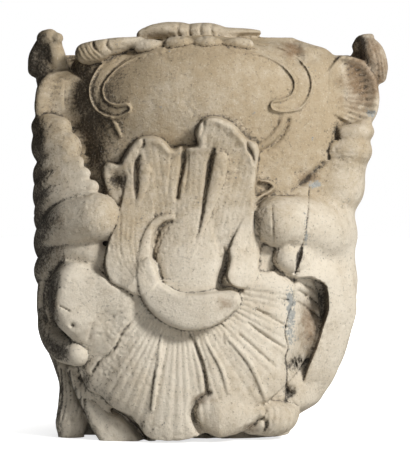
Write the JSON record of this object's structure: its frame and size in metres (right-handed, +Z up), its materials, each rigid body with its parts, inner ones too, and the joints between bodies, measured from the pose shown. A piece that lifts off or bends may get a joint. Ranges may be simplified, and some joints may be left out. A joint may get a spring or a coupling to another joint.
{
  "type": "carved keystone",
  "caption": "Rocaille keystone: a tapered stone block carved with a strapwork cartouche, acanthus, a C-scroll and a fluted shell between rolled edge folds.",
  "frame": {"origin": "centre of the bounding box on the underside the stone stands on", "axes": "+Z up from the underside, +Y out of the flat back, so the carved front faces -Y, and +X to the viewer's right"},
  "size_m": [0.4529, 0.2425, 0.519],
  "materials": {
    "stone": "weathered, tooled, matt"
  },
  "bodies": {
    "root": {"keystone": "stone"}
  },
  "joints": []
}
